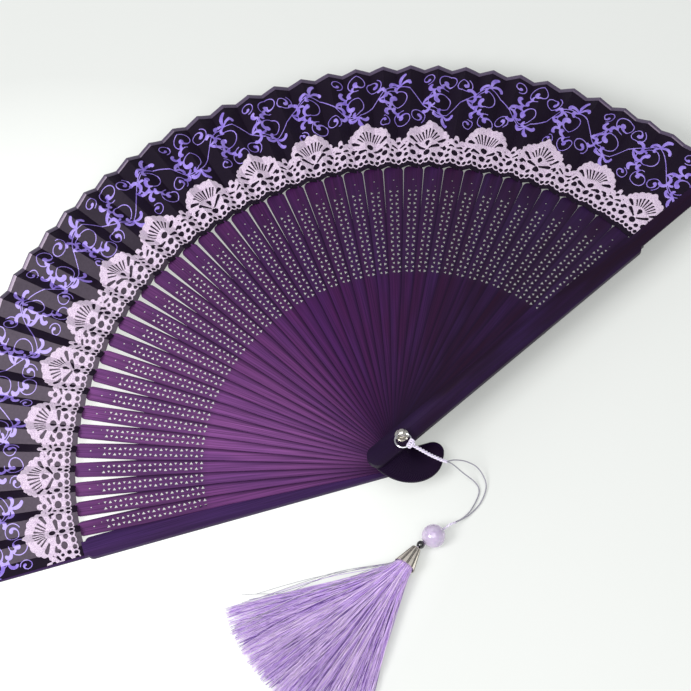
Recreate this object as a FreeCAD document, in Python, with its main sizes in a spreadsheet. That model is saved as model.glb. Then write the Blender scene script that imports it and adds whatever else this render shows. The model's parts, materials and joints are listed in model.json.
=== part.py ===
import FreeCAD, Part
import math
import os

import Sketcher
from FreeCAD import Placement, Rotation, Vector

# A folding fan lying open on its back guard. Two guards and a stack of thin ribs turn on one rivet, and
# a pleated leaf with a lace trim and a bound edge joins their outer halves. A cord with two beads, a
# metal cap and a silk skirt hangs from a ring in the rivet's eye.
# Origin: the rivet's axis, on the plane that the back guard rests on. +Z is up, +Y is the middle of the
# open leaf, and millimetres and degrees are used throughout.

DIMENSIONS = {
    # sticks
    "rib_count": 40,
    "stick_angle": 3.76,
    "layer_start": 2.45,
    "layer_step": 0.5,
    "rib_thickness": 0.42,
    "tail_length": 17,
    "stack_clearance": 0.05,
    "rib_tail_half": 3.8,
    "rib_waist_half": 3.1,
    "rib_waist_at": 78,
    "rib_wide_half": 3.7,
    "rib_wide_at": 112,
    "shoulder_half": 3.35,
    "shoulder_growth": 0.95,
    "growth_start": 9,
    "growth_steps": 15,
    "shoulder_at": 136.8,
    "shoulder_radius": 2.3,
    "slat_root_half": 1.3,
    "slat_tip_half": 1.1,
    "slat_end": 188.5,
    # pierced pattern of a rib
    "row_offset": 1.3,
    "tooth_half": 0.82,
    "tooth_height": 1.35,
    "small_tooth": 0.84,
    "rows_start": 84.9,
    "rows_step": 4.36,
    "rows_count": 10,
    "end_hole_at": 132.3,
    "end_hole_radius": 0.35,
    "dot_hole_at": 128.9,
    "dot_hole_radius": 0.25,
    # guards
    "guard_thickness": 2.4,
    "guard_half": 4.7,
    "guard_tail_length": 18,
    "guard_shoulder_at": 135,
    "guard_shoulder_radius": 2.2,
    "guard_strip_half": 3.3,
    "guard_end": 193,
    "guard_recess": 1.4,
    "recess_margin": 0.3,
    "cut_overrun": 1,
    # pleated leaf
    "leaf_inner": 139.3,
    "leaf_outer": 192,
    "leaf_relief": 3.6,
    "leaf_thickness": 0.25,
    "leaf_clearance": 0.15,
    "trim_clearance": 0.05,
    "lace_inner": 140.3,
    "lace_outer": 163,
    "lace_thickness": 0.2,
    "binding_width": 1.9,
    # rivet
    "pin_radius": 1.2,
    "pin_hole_radius": 1.25,
    "pin_head_radius": 2.4,
    "pin_head_height": 0.8,
    "head_clearance": 0.1,
    "washer_radius": 2.9,
    "washer_thickness": 0.4,
    "eye_radius": 1.9,
    "eye_lift": 1.9,
    "eye_hole_radius": 0.95,
    "ring_radius": 3.4,
    "ring_wire": 0.35,
    "ring_heading": -110,
    # tassel
    "cord_radius": 0.6,
    "hitch_heading": -55,
    "hitch_clearance": 0.12,
    "tassel_height": 5.02,
    "bead_x": -7.1,
    "bead_y": -38,
    "bead_heading": 187,
    "bead_radius": 5,
    "bead_hole": 0.95,
    "bead_travel": 3.5,
    "spacer_reach": 6.65,
    "spacer_radius": 1.75,
    "cap_gap": 0.5,
    "cap_heading": 208,
    "cap_length": 9.4,
    "cap_top_radius": 1.9,
    "cap_mouth_radius": 4.7,
    "cap_wall": 0.5,
    "flute_count": 11,
    "flute_radius": 0.5,
    "flute_offset": 0.15,
    "knot_radius": 1.2,
    "knot_depth": 4,
    "skirt_depth": 6.2,
    "skirt_throat": 2.6,
    "skirt_length": 68,
    "skirt_end_half": 34,
    "skirt_end_height": 4.5,
    "skirt_end_lift": 2.3,
    "skirt_heading": 197,
}

# Places that the slack part of the cord passes on its way from the ring to the beads.
SLACK_CORD = [
    Vector(6.8, -11.5, 20.0),
    Vector(12.6, -15.0, 14.0),
    Vector(20.4, -17.2, 8.0),
    Vector(24.6, -22.0, 3.2),
    Vector(23.2, -29.4, 1.3),
    Vector(15.6, -34.6, 1.3),
    Vector(8.6, -36.2, 3.0),
]

doc = FreeCAD.newDocument("hand_fan")
sheet = doc.addObject("Spreadsheet::Sheet", "dims")
for row, (alias, value) in enumerate(DIMENSIONS.items(), start=1):
    sheet.set(f"A{row}", alias)
    sheet.set(f"B{row}", str(value))
    sheet.setAlias(f"B{row}", alias)
doc.recompute()

sub_parts = []


def size(alias):
    """A driving dimension as a plain number."""
    return float(sheet.get(alias))


def finish(part, label):
    """Gives a sub-part its name and adds it to the list of pieces that are written."""
    part.Label = label
    sub_parts.append(part)
    return part


# ---------------------------------------------------------------- where a stick lies


def stick_turn(index):
    """Expression for the turn of a stick about the rivet, 0 along +Y: the back guard is stick 0."""
    return f"((dims.rib_count + 1) / 2 - {index}) * dims.stick_angle"


def layer_height(index):
    """Expression for the underside of a rib in the stack."""
    return f"dims.layer_start + ({index} - 1) * dims.layer_step"


def place_stick(part, index, height):
    """Binds a stick's placement to the sheet: its layer in the stack and its turn on the rivet."""
    place = f"placement(vector(0; 0; {height}); rotation(vector(0; 0; 1); {stick_turn(index)}))"
    part.setExpression("Placement", place)


FRONT_GUARD = int(DIMENSIONS["rib_count"]) + 1
STACK_TOP = "dims.layer_start + dims.rib_count * dims.layer_step"
WASHER_BOTTOM = f"({STACK_TOP} + dims.guard_thickness + dims.stack_clearance)"
EYE_CENTRE = f"({WASHER_BOTTOM} + dims.washer_thickness + dims.eye_lift)"


def way(heading, distance):
    """Expression for a level step in a heading, counted counter-clockwise from +X."""
    return f"vector({distance} * cos({heading} * 1 deg); {distance} * sin({heading} * 1 deg); 0)"


RING_CENTRE = f"(vector(0; 0; {EYE_CENTRE}) + {way('dims.ring_heading', 'dims.ring_radius')})"
HITCH = f"({RING_CENTRE} + {way('dims.hitch_heading', 'dims.ring_radius')})"
BEAD = "vector(dims.bead_x; dims.bead_y; dims.tassel_height)"
SPACER = f"({BEAD} + {way('dims.bead_heading', 'dims.spacer_reach')})"
KNEE = f"({SPACER} + {way('dims.bead_heading', 'dims.spacer_radius')})"
CAP_TOP = f"({KNEE} + {way('dims.cap_heading', 'dims.cap_gap')})"
KNOT = f"({CAP_TOP} + {way('dims.cap_heading', 'dims.knot_depth')})"


# ---------------------------------------------------------------- sketches


def number(expression):
    """The value that an expression of the sheet has now."""
    return float(sheet.evalExpression(expression))


def sketch_on(body, name, plane="XY_Plane"):
    """A sketch on one of the body's own origin planes."""
    sketch = body.newObject("Sketcher::SketchObject", name)
    support = next(o for o in body.Origin.OriginFeatures if o.Role == plane)
    sketch.AttachmentSupport = (support, [""])
    sketch.MapMode = "FlatFace"
    return sketch


def pin_point(sketch, curve, end, x, y):
    """Fixes one end of a curve at x, y, both expressions of the sheet."""
    for kind, expression in (("DistanceX", x), ("DistanceY", y)):
        constraint = Sketcher.Constraint(kind, -1, 1, curve, end, number(expression))
        place = sketch.addConstraint(constraint)
        sketch.setExpression(f"Constraints[{place}]", expression)


def outline(sketch, corners, arcs=()):
    """A closed outline through corners, each a pair of expressions, run counter-clockwise.

    arcs maps the number of a corner where a bulging arc begins to the height of the arc's centre.
    """
    arcs = dict(arcs)
    points = [Vector(number(x), number(y), 0) for x, y in corners]
    base = sketch.GeometryCount
    for i, start in enumerate(points):
        stop = points[(i + 1) % len(points)]
        if i in arcs:
            curve = sketch.addGeometry(bulge(start, stop, number(arcs[i])))
            constraint = Sketcher.Constraint("DistanceY", -1, 1, curve, 3, number(arcs[i]))
            sketch.setExpression(f"Constraints[{sketch.addConstraint(constraint)}]", arcs[i])
        else:
            curve = sketch.addGeometry(Part.LineSegment(start, stop))
        pin_point(sketch, curve, 1, *corners[i])
    for i in range(len(points)):
        following = base + (i + 1) % len(points)
        sketch.addConstraint(Sketcher.Constraint("Coincident", base + i, 2, following, 1))


def bulge(start, stop, centre_y):
    """The counter-clockwise arc from start to stop whose centre is at height centre_y."""
    middle, along = (start + stop) / 2, stop - start
    left = Vector(-along.y, along.x, 0)
    centre = middle + left * ((centre_y - middle.y) / left.y)
    first = math.atan2(start.y - centre.y, start.x - centre.x)
    last = math.atan2(stop.y - centre.y, stop.x - centre.x)
    radius = (start - centre).Length
    return Part.ArcOfCircle(Part.Circle(centre, Vector(0, 0, 1), radius), first, last)


def circle(sketch, y, radius, x="0"):
    """A round hole, on the stick's middle line unless x is given."""
    centre = Vector(number(x), number(y), 0)
    curve = sketch.addGeometry(Part.Circle(centre, Vector(0, 0, 1), number(radius)))
    pin_point(sketch, curve, 3, x, y)
    place = sketch.addConstraint(Sketcher.Constraint("Radius", curve, number(radius)))
    sketch.setExpression(f"Constraints[{place}]", radius)


def cut(body, sketch, depth=None, reverse=True):
    """A pocket that must take material away: through everything, or to a depth."""
    before = body.Shape.Volume
    pocket = body.newObject("PartDesign::Pocket", f"{sketch.Name}_cut")
    pocket.Profile = sketch
    pocket.Type = "Length" if depth else "ThroughAll"
    if depth:
        pocket.setExpression("Length", depth)
    pocket.Reversed = reverse
    doc.recompute()
    if not body.Shape.Volume < before - 1e-6:
        raise RuntimeError(f"{pocket.Name} cuts nothing")
    return pocket


# ---------------------------------------------------------------- ribs


def shoulder_half(index):
    """Expression for half a rib's width at its shoulders: the ribs near the back guard are narrower."""
    share = f"max(0; min(1; ({index} - dims.growth_start) / dims.growth_steps))"
    return f"(dims.shoulder_half + dims.shoulder_growth * {share})"


def rib_outline(sketch, shoulder):
    """A rib's outline: a round tail, a slight waist, sides out to the shoulders, and a slat."""
    tail = "-(dims.tail_length - dims.rib_tail_half)"
    root = "dims.shoulder_at + dims.shoulder_radius"
    corners = [
        ("-dims.rib_tail_half", tail),
        ("dims.rib_tail_half", tail),
        ("dims.rib_waist_half", "dims.rib_waist_at"),
        ("dims.rib_wide_half", "dims.rib_wide_at"),
        (shoulder, "dims.shoulder_at"),
        ("dims.slat_root_half", root),
        ("dims.slat_tip_half", "dims.slat_end"),
        ("-dims.slat_tip_half", "dims.slat_end"),
        ("-dims.slat_root_half", root),
        (f"-{shoulder}", "dims.shoulder_at"),
        ("-dims.rib_wide_half", "dims.rib_wide_at"),
        ("-dims.rib_waist_half", "dims.rib_waist_at"),
    ]
    outline(sketch, corners, {0: tail, 4: "dims.shoulder_at", 8: "dims.shoulder_at"})


def tooth(sketch, x, y, factor, side):
    """One small triangular hole, with its tip across the rib on the side given as + or -."""
    base = "-" if side == "+" else "+"
    half_height = f"dims.tooth_height * {factor} / 2"
    corners = [
        (f"{x} {base} {half_height}", f"{y} {side} dims.tooth_half * {factor}"),
        (f"{x} {base} {half_height}", f"{y} {base} dims.tooth_half * {factor}"),
        (f"{x} {side} {half_height}", y),
    ]
    outline(sketch, corners)


def make_rib(index):
    """A pierced blade of bamboo."""
    label = f"rib_{index:02d}"
    body = doc.addObject("PartDesign::Body", label)
    profile = sketch_on(body, f"{label}_profile")
    rib_outline(profile, shoulder_half(index))
    blade = body.newObject("PartDesign::Pad", f"{label}_blade")
    blade.Profile = profile
    blade.setExpression("Length", "dims.rib_thickness")
    doc.recompute()
    bores = sketch_on(body, f"{label}_bores")
    circle(bores, "0", "dims.pin_hole_radius")
    circle(bores, "dims.end_hole_at", "dims.end_hole_radius")
    circle(bores, "dims.dot_hole_at", "dims.dot_hole_radius", "dims.row_offset")
    cut(body, bores)
    teeth = sketch_on(body, f"{label}_teeth")
    start, half_step = "dims.rows_start", "dims.rows_start + dims.rows_step / 2"
    for row, large, small in (("dims.row_offset", start, half_step), ("-dims.row_offset", half_step, start)):
        tooth(teeth, row, large, "1", "+")
        tooth(teeth, row, small, "dims.small_tooth", "-")
    first_teeth = cut(body, teeth)
    before = body.Shape.Volume
    rows = body.newObject("PartDesign::LinearPattern", f"{label}_rows")
    rows.Originals = [first_teeth]
    rows.Direction = (teeth, ["V_Axis"])
    rows.setExpression("Length", "dims.rows_step * (dims.rows_count - 1)")
    rows.setExpression("Occurrences", "dims.rows_count")
    body.Tip = rows
    doc.recompute()
    if not body.Shape.Volume < before:
        raise RuntimeError("the pierced rows cut nothing")
    return body


def make_ribs():
    """All the ribs, each in its own layer. Each width is designed once, and its other ribs are copies."""
    designs = {}
    for index in range(1, FRONT_GUARD):
        width = number(shoulder_half(index))
        if width in designs:
            body = doc.addObject("PartDesign::Body", f"rib_{index:02d}")
            copy = body.newObject("PartDesign::FeatureBase", f"rib_{index:02d}_copy")
            copy.BaseFeature = designs[width]
            body.Tip = copy
        else:
            body = designs[width] = make_rib(index)
        place_stick(body, index, layer_height(index))
        finish(body, f"rib_{index:02d}")


# ---------------------------------------------------------------- guards


def guard_outline(sketch):
    """A guard's outline: a round tail, straight sides, and a strip along the leaf's edge."""
    tail = "-(dims.guard_tail_length - dims.guard_half)"
    root = "dims.guard_shoulder_at + dims.guard_shoulder_radius"
    tip = "dims.guard_end - dims.guard_strip_half"
    corners = [
        ("-dims.guard_half", tail),
        ("dims.guard_half", tail),
        ("dims.guard_half", "dims.guard_shoulder_at"),
        ("dims.guard_strip_half", root),
        ("dims.guard_strip_half", tip),
        ("-dims.guard_strip_half", tip),
        ("-dims.guard_strip_half", root),
        ("-dims.guard_half", "dims.guard_shoulder_at"),
    ]
    shoulder = "dims.guard_shoulder_at"
    outline(sketch, corners, {0: tail, 2: shoulder, 4: tip, 6: shoulder})


def strip_recess(sketch):
    """The part of a guard's inner face that is cut back, so that the folded leaf has room."""
    start = "dims.leaf_inner - dims.recess_margin"
    width = "dims.guard_half + dims.cut_overrun"
    end = "dims.guard_end + dims.cut_overrun"
    outline(sketch, [(f"-({width})", start), (width, start), (width, end), (f"-({width})", end)])


def make_guard(label, inner_face_up):
    """A guard: a thick outer stick, recessed on its inner face along the leaf."""
    body = doc.addObject("PartDesign::Body", label)
    profile = sketch_on(body, f"{label}_profile")
    guard_outline(profile)
    plate = body.newObject("PartDesign::Pad", f"{label}_plate")
    plate.Profile = profile
    plate.setExpression("Length", "dims.guard_thickness")
    doc.recompute()
    bore = sketch_on(body, f"{label}_bore")
    circle(bore, "0", "dims.pin_hole_radius")
    cut(body, bore)
    if not inner_face_up:
        recess = sketch_on(body, f"{label}_recess")
        strip_recess(recess)
        cut(body, recess, "dims.guard_recess")
        return body
    recess = sketch_on(body, f"{label}_recess")
    recess.setExpression("AttachmentOffset.Base.z", "dims.guard_thickness")
    strip_recess(recess)
    cut(body, recess, "dims.guard_recess", reverse=False)
    seat = sketch_on(body, f"{label}_rivet_seat")
    circle(seat, "0", "dims.pin_head_radius + dims.head_clearance")
    cut(body, seat, "dims.pin_head_height + dims.head_clearance")
    return body


def make_guards():
    """The back guard under the stack and the front guard over it."""
    back = make_guard("back_guard", inner_face_up=True)
    place_stick(back, 0, "0")
    finish(back, "back_guard")
    front = make_guard("front_guard", inner_face_up=False)
    place_stick(front, FRONT_GUARD, STACK_TOP)
    finish(front, "front_guard")


# ---------------------------------------------------------------- pleated leaf


def crease_lines():
    """Every crease of the leaf as (angle, middle height, rise at the rim), from back guard to front.

    Each stick carries one panel, a quarter of a pitch to each side of it. The panel's left crease stands
    high and its right crease low, and the next panel climbs back to the following stick's left crease.
    """
    pitch, sticks = size("stick_angle"), FRONT_GUARD
    quarter_pitch = pitch / 4
    quarter_width = math.radians(quarter_pitch) * size("leaf_outer")
    cloth = size("leaf_thickness") + size("trim_clearance") + size("lace_thickness")
    slope_share = size("slat_root_half") / quarter_width
    back_face = size("guard_thickness") - size("guard_recess")
    front_face = number(STACK_TOP) + size("guard_recess")
    creases = []
    for index in range(sticks + 1):
        angle = 90 + number(stick_turn(index))
        if index == 0:
            middle, half = back_face + size("leaf_clearance"), 0.0
        elif index == sticks:
            middle, half = front_face - size("leaf_clearance") - cloth, 0.0
        else:
            top = number(layer_height(index)) + size("rib_thickness")
            room = front_face - top - 2 * size("leaf_clearance") - cloth
            half = min(size("leaf_relief") / 2, room / (1 + slope_share))
            middle = top + size("leaf_clearance") + slope_share * half
        creases.append((angle + quarter_pitch, middle, half))
        creases.append((angle - quarter_pitch, middle, -half))
    return creases


def pleated_sheet(label, inner, outer, offset, thickness):
    """A pleated band between two radii, lying on the leaf's creases at an offset above them."""
    rim = size("leaf_outer")

    def corner(crease, radius, height):
        angle, middle, half = crease
        turn = math.radians(angle)
        level = middle + half * radius / rim + offset + height
        return Vector(radius * math.cos(turn), radius * math.sin(turn), level)

    def face(*points):
        return Part.Face(Part.makePolygon([*points, points[0]]))

    creases = crease_lines()
    faces = []
    for i, (here, there) in enumerate(zip(creases, creases[1:])):
        for height in (0, thickness):
            a, b = corner(here, inner, height), corner(here, outer, height)
            c, d = corner(there, outer, height), corner(there, inner, height)
            if i % 2 == 0:
                faces.append(face(a, b, c, d))
            else:
                faces += [face(a, b, c), face(a, c, d)]
        for radius in (inner, outer):
            low_here, high_here = corner(here, radius, 0), corner(here, radius, thickness)
            low_there, high_there = corner(there, radius, 0), corner(there, radius, thickness)
            faces.append(face(low_here, high_here, high_there, low_there))
    for crease in (creases[0], creases[-1]):
        ends = [corner(crease, inner, 0), corner(crease, inner, thickness)]
        ends += [corner(crease, outer, thickness), corner(crease, outer, 0)]
        faces.append(face(*ends))
    shell = Part.Shell(faces)
    shell.sewShape()
    solid = Part.Solid(shell)
    if solid.Volume < 0:
        solid.reverse()
    part = doc.addObject("Part::Feature", label)
    part.Shape = solid
    part.Placement = Placement()
    return finish(part, label)


def make_leaf():
    """The silk leaf, the lace sewn along its inner edge and the tape bound round its rim."""
    over_leaf = size("leaf_thickness") + size("trim_clearance")
    pleated_sheet("leaf", size("leaf_inner"), size("leaf_outer"), 0, size("leaf_thickness"))
    pleated_sheet("lace_trim", size("lace_inner"), size("lace_outer"), over_leaf, size("lace_thickness"))
    tape_inner = size("leaf_outer") - size("binding_width")
    pleated_sheet("edge_binding", tape_inner, size("leaf_outer"), over_leaf, size("lace_thickness"))


# ---------------------------------------------------------------- rivet


def primitive(kind, name, place=None, **expressions):
    """A Part primitive whose sizes, and placement if given, are expressions of the sheet."""
    shape = doc.addObject(f"Part::{kind}", name)
    for prop, expression in expressions.items():
        shape.setExpression(prop, expression)
    if place:
        shape.setExpression("Placement", place)
    return shape


def at_height(height):
    """A placement expression straight above the origin."""
    return f"placement(vector(0; 0; {height}); rotation(vector(0; 0; 1); 0))"


def make_rivet():
    """The rivet: a flat head in the back guard, a shaft through the stack and an eye on top."""
    head = primitive("Cylinder", "pin_head", Radius="dims.pin_head_radius", Height="dims.pin_head_height")
    shaft = primitive("Cylinder", "pin_shaft", Radius="dims.pin_radius", Height=EYE_CENTRE)
    ball = primitive("Sphere", "pin_ball", at_height(EYE_CENTRE), Radius="dims.eye_radius")
    solid = doc.addObject("Part::MultiFuse", "pin_solid")
    solid.Shapes = [head, shaft, ball]
    turn = "rotation(vector(0; 0; 1); dims.ring_heading) * rotation(vector(1; 0; 0); 90)"
    reach = "-dims.eye_radius * 2"
    place = (
        f"placement(vector(0; 0; {EYE_CENTRE}); {turn})"
        f" * placement(vector(0; 0; {reach}); rotation(vector(0; 0; 1); 0))"
    )
    bore = primitive(
        "Cylinder", "eye_bore", place, Radius="dims.eye_hole_radius", Height="dims.eye_radius * 4"
    )
    pin = doc.addObject("Part::Cut", "rivet_pin")
    pin.Base, pin.Tool = solid, bore
    finish(pin, "rivet_pin")


def make_washer():
    """The thin washer between the front guard and the rivet's eye."""
    place = at_height(WASHER_BOTTOM)
    disc = primitive(
        "Cylinder", "washer_disc", place, Radius="dims.washer_radius", Height="dims.washer_thickness"
    )
    hole = primitive(
        "Cylinder", "washer_hole", place, Radius="dims.pin_hole_radius", Height="dims.washer_thickness"
    )
    washer = doc.addObject("Part::Cut", "front_washer")
    washer.Base, washer.Tool = disc, hole
    finish(washer, "front_washer")


def make_ring():
    """The wire ring that passes through the rivet's eye and carries the cord."""
    place = f"placement({RING_CENTRE}; rotation(vector(0; 0; 1); 0))"
    ring = primitive("Torus", "hanging_ring", place, Radius1="dims.ring_radius", Radius2="dims.ring_wire")
    finish(ring, "hanging_ring")


# ---------------------------------------------------------------- tassel


def point(expression):
    """The place that a vector expression of the sheet gives now."""
    return Vector(sheet.evalExpression(expression))


def facing(heading):
    """Rotation expression that turns +Z to a level heading."""
    return f"rotation(vector(0; 0; 1); {heading}) * rotation(vector(0; 1; 0); 90)"


def round_rod(start, stop):
    """A straight stretch of the cord."""
    return Part.makeCylinder(size("cord_radius"), (stop - start).Length, start, stop - start)


def slack_stretch(start, stop, last_way):
    """The hanging stretch of the cord, which enters the beads along last_way."""
    places = [start, *SLACK_CORD, stop]
    spine = Part.BSplineCurve()
    spine.interpolate(Points=places, InitialTangent=places[1] - start, FinalTangent=last_way)
    section = Part.Wire(Part.makeCircle(size("cord_radius"), start, places[1] - start))
    return Part.Wire(spine.toShape()).makePipeShell([section], True, True)


def hitch_loop(hitch, outwards):
    """The loop of the cord round the ring's wire."""
    reach = size("ring_wire") + size("cord_radius") + size("hitch_clearance")
    loop = Part.makeTorus(reach, size("cord_radius"))
    wire_way = Vector(0, 0, 1).cross(outwards)
    loop.Placement = Placement(hitch, Rotation(Vector(0, 0, 1), wire_way))
    return loop, hitch + outwards * reach


def make_cord():
    """The doubled cord, drawn as one round cord from a loop round the ring to the knot in the cap."""
    hitch = point(HITCH)
    outwards = (hitch - point(RING_CENTRE)).normalize()
    loop, start = hitch_loop(hitch, outwards)
    bead_way = point(way("dims.bead_heading", "1"))
    clear_of_bead = size("bead_radius") + size("bead_travel")
    entry = point(BEAD) - bead_way * clear_of_bead
    knee = point(KNEE)
    stretches = [
        slack_stretch(start, entry, bead_way),
        round_rod(entry, knee),
        Part.makeSphere(size("cord_radius"), knee),
        round_rod(knee, point(KNOT)),
    ]
    part = doc.addObject("Part::Feature", "tassel_cord")
    part.Shape = loop.fuse(stretches).removeSplitter()
    part.Placement = Placement()
    finish(part, "tassel_cord")


def make_bead(label, place, radius_cell):
    """A round bead drilled for the cord along the beads' common heading."""
    ball = primitive("Sphere", f"{label}_ball", Radius=f"dims.{radius_cell}")
    hole = primitive(
        "Cylinder",
        f"{label}_hole",
        at_height(f"-dims.{radius_cell} * 2"),
        Radius="dims.bead_hole",
        Height=f"dims.{radius_cell} * 4",
    )
    bead = doc.addObject("Part::Cut", label)
    bead.Base, bead.Tool = ball, hole
    bead.setExpression("Placement", f"placement({place}; {facing('dims.bead_heading')})")
    finish(bead, label)


def cap_flute(index):
    """One groove down the slanted outside of the cap."""
    slope = "atan((dims.cap_mouth_radius - dims.cap_top_radius) / dims.cap_length)"
    around = f"rotation(vector(0; 0; 1); {index} * 360 / dims.flute_count)"
    place = (
        f"placement(vector(0; 0; 0); {around})"
        f" * placement(vector(dims.cap_top_radius + dims.flute_offset; 0; 0);"
        f" rotation(vector(0; 1; 0); {slope}))"
        f" * {at_height('-dims.cap_length / 2')}"
    )
    name = f"cap_flute_{index:02d}"
    return primitive("Cylinder", name, place, Radius="dims.flute_radius", Height="dims.cap_length * 2")


def make_cap():
    """The metal cap: a hollow bell with fluted sides and a hole for the cord in its top."""
    bell = primitive(
        "Cone",
        "cap_bell",
        Radius1="dims.cap_top_radius",
        Radius2="dims.cap_mouth_radius",
        Height="dims.cap_length",
    )
    hollow = primitive(
        "Cone",
        "cap_hollow",
        at_height("dims.cap_wall"),
        Radius1="dims.cap_top_radius - dims.cap_wall",
        Radius2="dims.cap_mouth_radius - dims.cap_wall",
        Height="dims.cap_length - dims.cap_wall",
    )
    hole = primitive("Cylinder", "cap_hole", Radius="dims.bead_hole", Height="dims.cap_wall * 2")
    cutters = doc.addObject("Part::MultiFuse", "cap_cutters")
    cutters.Shapes = [hollow, hole, *(cap_flute(i) for i in range(int(size("flute_count"))))]
    cap = doc.addObject("Part::Cut", "tassel_cap")
    cap.Base, cap.Tool = bell, cutters
    cap.setExpression("Placement", f"placement({CAP_TOP}; {facing('dims.cap_heading')})")
    finish(cap, "tassel_cap")


def make_knot():
    """The knot in the cord's end, which holds the cap and the skirt."""
    place = f"placement({KNOT}; rotation(vector(0; 0; 1); 0))"
    knot = primitive("Sphere", "cord_knot", place, Radius="dims.knot_radius")
    finish(knot, "cord_knot")


def make_skirt():
    """The silk skirt as a closed wedge: round inside the cap, wide and flat at its cut end."""
    throat_centre = point(f"{CAP_TOP} + {way('dims.cap_heading', 'dims.skirt_depth')}")
    cap_way = point(way("dims.cap_heading", "1"))
    throat = Part.Wire(Part.makeCircle(size("skirt_throat"), throat_centre, cap_way))
    out = point(way("dims.skirt_heading", "1"))
    across = Vector(-out.y, out.x, 0)
    end = throat_centre + out * size("skirt_length")
    end.z = size("skirt_end_lift")
    side = end + across * size("skirt_end_half")
    top = end + Vector(0, 0, size("skirt_end_height") / 2)
    hem = Part.Wire(Part.Ellipse(side, top, end).toShape())
    part = doc.addObject("Part::Feature", "tassel_skirt")
    part.Shape = Part.makeLoft([throat, hem], True, True)
    part.Placement = Placement()
    finish(part, "tassel_skirt")


def make_tassel():
    """Everything that hangs on the ring."""
    make_cord()
    make_bead("glass_bead", BEAD, "bead_radius")
    make_bead("spacer_bead", SPACER, "spacer_radius")
    make_cap()
    make_knot()
    make_skirt()


# ---------------------------------------------------------------- whole fan


def check_document():
    """Stops on any failed object and on any sub-part without a sound shape."""
    for item in doc.Objects:
        if {"Invalid", "Error"} & set(item.State):
            raise RuntimeError(f"{item.Name} failed: {item.State}")
    for part in sub_parts:
        if part.Shape.isNull() or not part.Shape.isValid():
            raise RuntimeError(f"{part.Label} has no sound shape")


def write_parts():
    """Writes one file for each sub-part, named after its label."""
    os.makedirs("parts", exist_ok=True)
    for part in sub_parts:
        part.Shape.exportStep(f"parts/{part.Label}.step")


make_guards()
make_ribs()
make_leaf()
make_rivet()
make_washer()
make_ring()
make_tassel()
doc.recompute()
check_document()
write_parts()
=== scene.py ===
import json
import math
import random

import bpy
import numpy as np
from mathutils import Matrix, Vector

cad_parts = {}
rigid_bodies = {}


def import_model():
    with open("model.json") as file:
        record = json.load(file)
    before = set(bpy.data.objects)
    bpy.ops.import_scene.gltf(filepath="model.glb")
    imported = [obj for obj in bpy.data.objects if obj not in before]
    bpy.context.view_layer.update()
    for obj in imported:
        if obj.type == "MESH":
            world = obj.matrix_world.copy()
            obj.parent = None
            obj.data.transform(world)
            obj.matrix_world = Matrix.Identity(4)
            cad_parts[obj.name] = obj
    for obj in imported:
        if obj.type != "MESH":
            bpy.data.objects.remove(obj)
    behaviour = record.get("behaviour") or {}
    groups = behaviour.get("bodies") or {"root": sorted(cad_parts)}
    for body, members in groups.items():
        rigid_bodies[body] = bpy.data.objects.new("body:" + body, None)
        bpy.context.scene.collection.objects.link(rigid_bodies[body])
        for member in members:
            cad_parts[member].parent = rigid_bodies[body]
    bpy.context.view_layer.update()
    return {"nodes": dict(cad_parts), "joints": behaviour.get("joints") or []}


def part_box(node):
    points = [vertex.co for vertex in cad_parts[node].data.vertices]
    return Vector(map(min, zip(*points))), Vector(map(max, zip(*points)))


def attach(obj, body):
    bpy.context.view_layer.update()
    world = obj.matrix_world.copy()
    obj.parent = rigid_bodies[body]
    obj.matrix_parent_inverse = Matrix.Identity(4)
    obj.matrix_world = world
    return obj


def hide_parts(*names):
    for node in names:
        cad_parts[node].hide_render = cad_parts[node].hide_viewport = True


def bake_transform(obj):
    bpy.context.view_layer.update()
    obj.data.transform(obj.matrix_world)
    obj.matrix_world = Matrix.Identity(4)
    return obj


# The looks of an open folding fan with a lace-trimmed silk leaf and a tassel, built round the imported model.
# Lengths are in millimetres until a mesh is made, and the frame's own places are turned into millimetres
# as they are read. Angles are in degrees, counter-clockwise from +X.

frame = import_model()

MM = 0.001
random.seed(11)


# ---------------------------------------------------------------- what the frame says


def centre_of(node):
    """The middle of a CAD node's box, in millimetres."""
    low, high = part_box(node)
    return (low + high) / 2 / MM


def points_of(node):
    """The corners of a CAD node's mesh, in millimetres."""
    return np.array([v.co for v in frame["nodes"][node].data.vertices]) / MM


def joint_named(name):
    """A joint of the record."""
    return next(j for j in frame["joints"] if j["name"] == name)


def chain_of_sticks():
    """The fan's sticks from the back guard to the front guard, in the order in which they are hinged."""
    following = {j["parent"]: j["child"] for j in frame["joints"] if "fold" in j["name"]}
    sticks = [joint_named("fan_fold")["parent"]]
    while sticks[-1] in following:
        sticks.append(following[sticks[-1]])
    return sticks


STICKS = chain_of_sticks()
PITCH = joint_named("fan_fold")["range_deg"][1]


def stick_angle(k):
    """The heading of stick k, counted from the back guard."""
    return 90 + ((len(STICKS) - 1) / 2 - k) * PITCH


def read_creases():
    """Inner and outer radius of the leaf, and each crease as (angle, inner height, outer height)."""
    corners = points_of("leaf")
    radius = np.hypot(corners[:, 0], corners[:, 1])
    angle = np.degrees(np.arctan2(corners[:, 1], corners[:, 0]))
    inner, outer = radius.min(), radius.max()
    creases = []
    for k in range(len(STICKS)):
        for side in (1, -1):
            turn = stick_angle(k) + side * PITCH / 4
            near = abs(angle - turn) < PITCH / 16
            heights = [corners[near & (abs(radius - rim) < 1), 2].min() for rim in (inner, outer)]
            creases.append((turn, *heights))
    return inner, outer, creases


LEAF_INNER, LEAF_OUTER, CREASES = read_creases()
LACE_CORNERS = np.hypot(*points_of("lace_trim")[:, :2].T)
LACE_INNER, LACE_OUTER = LACE_CORNERS.min(), LACE_CORNERS.max()
FAN_MIDDLE = 90.0
FAN_SPAN = CREASES[0][0] - CREASES[-1][0]


CLOTH_BOW = 0.12
BOW_WAVES = 9
BOW_SHIFT = 1.7


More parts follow.
